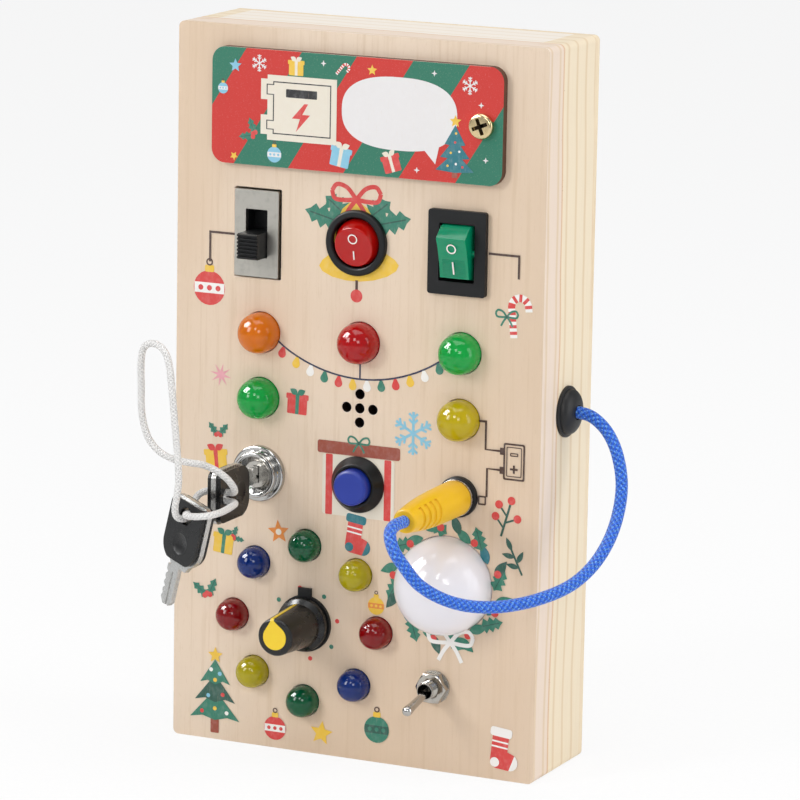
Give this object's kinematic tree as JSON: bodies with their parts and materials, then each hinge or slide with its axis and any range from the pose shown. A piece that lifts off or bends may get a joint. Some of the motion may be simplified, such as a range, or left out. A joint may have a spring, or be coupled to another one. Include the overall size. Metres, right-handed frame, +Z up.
{
  "type": "wooden busy board with switches and lights",
  "caption": "Wooden busy board for small children: rockers, a slide switch, a key lock with keys, a push button, a plug on a cord, a knob, a toggle and round coloured lamps.",
  "frame": {"origin": "middle of the lower edge's face, halfway through the board's depth, with the board standing upright", "axes": "+X to the right as seen from the front, +Y to the back, +Z up; the face with the switches looks along -Y"},
  "size_m": [0.1627, 0.1017, 0.25],
  "materials": {
    "birch_ply": "fine sanded",
    "pine": "fine sanded",
    "cover_ply": "printed and varnished",
    "steel": "plated",
    "brass": "plated",
    "chrome": "polished",
    "nickel": "satin",
    "black_plastic": "moulded",
    "black_gloss": "moulded",
    "rocker_red": "translucent",
    "rocker_green": "translucent",
    "lamp_orange": "translucent",
    "lamp_red": "translucent",
    "lamp_yellow": "translucent",
    "lamp_green": "translucent",
    "small_green": "translucent",
    "small_yellow": "translucent",
    "small_red": "translucent",
    "small_blue": "translucent",
    "milk_white": "gloss",
    "white_plastic": "moulded",
    "circuit_green": "coated",
    "cell_wrap": "sleeved",
    "button_blue": "gloss",
    "plug_yellow": "satin",
    "cord_blue": "braided",
    "cord_white": "braided",
    "rubber": "matte",
    "inlay_yellow": "satin"
  },
  "bodies": {
    "board": {"front_panel": "birch_ply", "rail_left": "pine", "rail_right": "pine", "end_rails": "pine", "back_panel": "birch_ply", "back_screws": "steel", "battery_tray": "black_plastic", "battery_contacts": "steel", "battery_cells": "cell_wrap", "cover_screw": "brass", "slide_plate": "nickel", "slide_body": "black_plastic", "round_housing": "black_plastic", "rect_housing": "black_plastic", "terminals": "brass", "lamp_orange": "lamp_orange", "lamp_red": "lamp_red", "lamp_yellow": "lamp_yellow", "lamps_green": "lamp_green", "ring_lamps_green": "small_green", "ring_lamps_yellow": "small_yellow", "ring_lamps_red": "small_red", "ring_lamps_blue": "small_blue", "circuit_boards": "circuit_green", "leds": "white_plastic", "board_pillars": "white_plastic", "speaker": "steel", "lock_body": "chrome", "panel_nuts": "steel", "button_housing": "black_plastic", "button_spring": "steel", "jack_socket": "steel", "jack_ring": "black_gloss", "plug_cord": "cord_blue", "grommet": "rubber", "cord_anchor": "white_plastic", "rotary_switch": "black_plastic", "dial_collar": "black_plastic", "toggle_body": "steel", "toggle_nut": "chrome", "globe": "milk_white", "globe_base": "white_plastic"},
    "cover": {"battery_cover": "cover_ply"},
    "slider": {"slide_knob": "black_plastic"},
    "round_rocker": {"round_rocker": "rocker_red"},
    "rect_rocker": {"rect_rocker": "rocker_green"},
    "button": {"button_cap": "button_blue"},
    "plug": {"plug_barrel": "steel", "plug_handle": "plug_yellow"},
    "dial": {"dial_knob": "black_gloss", "dial_inlay": "inlay_yellow", "dial_shaft": "steel"},
    "toggle": {"toggle_lever": "chrome"},
    "rotor": {"lock_rotor": "steel"},
    "key": {"key_blank": "steel", "key_halves": "black_plastic"},
    "tether": {"key_cord": "cord_white"},
    "spare_key": {"spare_key_blank": "steel", "spare_key_halves": "black_plastic"}
  },
  "joints": [
    {"name": "cover_swing", "type": "hinge", "parent": "board", "child": "cover", "pos_m": [0.0461, -0.021, 0.223], "axis": [0, 1, 0], "range_deg": [0, 100]},
    {"name": "slide_switch", "type": "slide", "parent": "board", "child": "slider", "axis": [0, 0, 1], "range_m": [0, 0.0072]},
    {"name": "round_rock", "type": "hinge", "parent": "board", "child": "round_rocker", "pos_m": [-0.0003, -0.019, 0.1795], "axis": [-1, 0, 0], "range_deg": [0, 24]},
    {"name": "square_rock", "type": "hinge", "parent": "board", "child": "rect_rocker", "pos_m": [0.0372, -0.0213, 0.1795], "axis": [-1, 0, 0], "range_deg": [0, 32]},
    {"name": "button_press", "type": "slide", "parent": "board", "child": "button", "axis": [0, 1, 0], "range_m": [0, 0.003], "stiffness_N_per_m": 300, "springref_m": -0.002, "deforming": ["button_spring"]},
    {"name": "plug_pull", "type": "slide", "parent": "board", "child": "plug", "axis": [0, -1, 0], "range_m": [0, 0.012], "deforming": ["plug_cord"]},
    {"name": "dial_turn", "type": "hinge", "parent": "board", "child": "dial", "pos_m": [-0.0178, -0.021, 0.0457], "axis": [0, 1, 0], "range_deg": [0, 315]},
    {"name": "toggle_flip", "type": "hinge", "parent": "board", "child": "toggle", "pos_m": [0.0313, -0.0242, 0.0295], "axis": [-1, 0, 0], "range_deg": [0, 22]},
    {"name": "key_turn", "type": "hinge", "parent": "board", "child": "rotor", "pos_m": [-0.036, -0.021, 0.0965], "axis": [0, 1, 0], "range_deg": [0, 90], "deforming": ["key_cord"]},
    {"name": "key_pull", "type": "slide", "parent": "rotor", "child": "key", "axis": [0, -1, 0], "range_m": [0, 0.012]},
    {"name": "tether_hang", "type": "hinge", "parent": "key", "child": "tether", "pos_m": [-0.036, -0.05, 0.094], "axis": [0, 1, 0], "range_deg": [-90, 0], "deforming": ["key_cord"]},
    {"name": "spare_key_swing", "type": "hinge", "parent": "tether", "child": "spare_key", "pos_m": [-0.0395, -0.0645, 0.0895], "axis": [0, 1, 0], "range_deg": [-38, 12], "deforming": ["key_cord"]}
  ],
  "couplings": [
    {"joint": "tether_hang", "follows": "key_turn", "ratio": -1}
  ]
}
